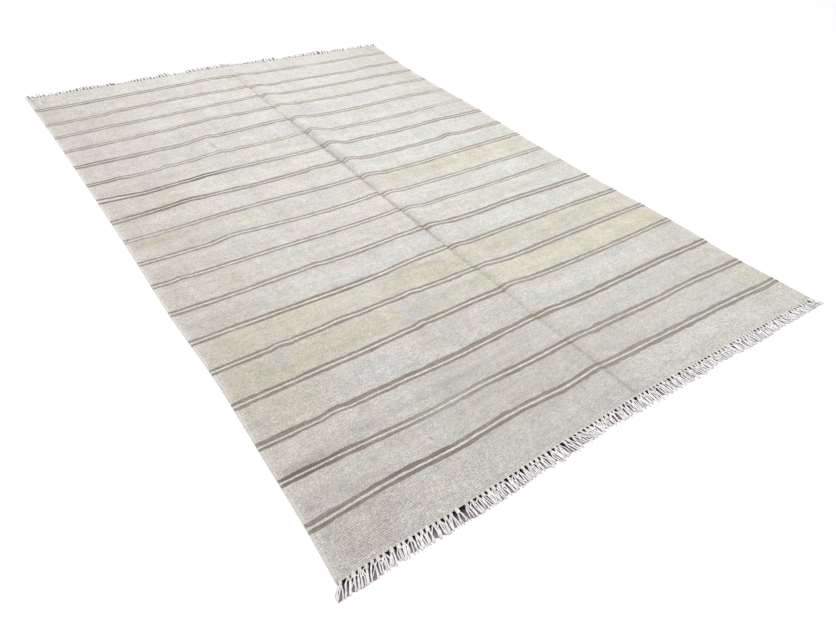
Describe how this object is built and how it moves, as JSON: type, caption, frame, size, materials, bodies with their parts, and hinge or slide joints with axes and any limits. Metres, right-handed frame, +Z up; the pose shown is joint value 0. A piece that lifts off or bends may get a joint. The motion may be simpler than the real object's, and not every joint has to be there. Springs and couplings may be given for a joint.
{
  "type": "turkish kilim rug",
  "caption": "Flat-woven kilim rug of panels joined at a lengthwise seam, faded cream with thin paired taupe stripes across it and a short knotted fringe at each end.",
  "frame": {"origin": "on the floor under the middle of the rug's bounding box, fringe included", "axes": "+Z up from the floor, +Y along the length from the near fringe to the far one, +X across the width"},
  "size_m": [1.92, 2.89, 0.0169],
  "materials": {
    "panel_wool": "matt weft-faced flat weave, faded and washed",
    "fringe_yarn": "matt knotted warp yarn, off-white"
  },
  "bodies": {
    "root": {"panel_left": "panel_wool", "panel_right": "panel_wool", "fringe_near_left": "fringe_yarn", "fringe_near_right": "fringe_yarn", "fringe_far_left": "fringe_yarn", "fringe_far_right": "fringe_yarn"}
  },
  "joints": []
}
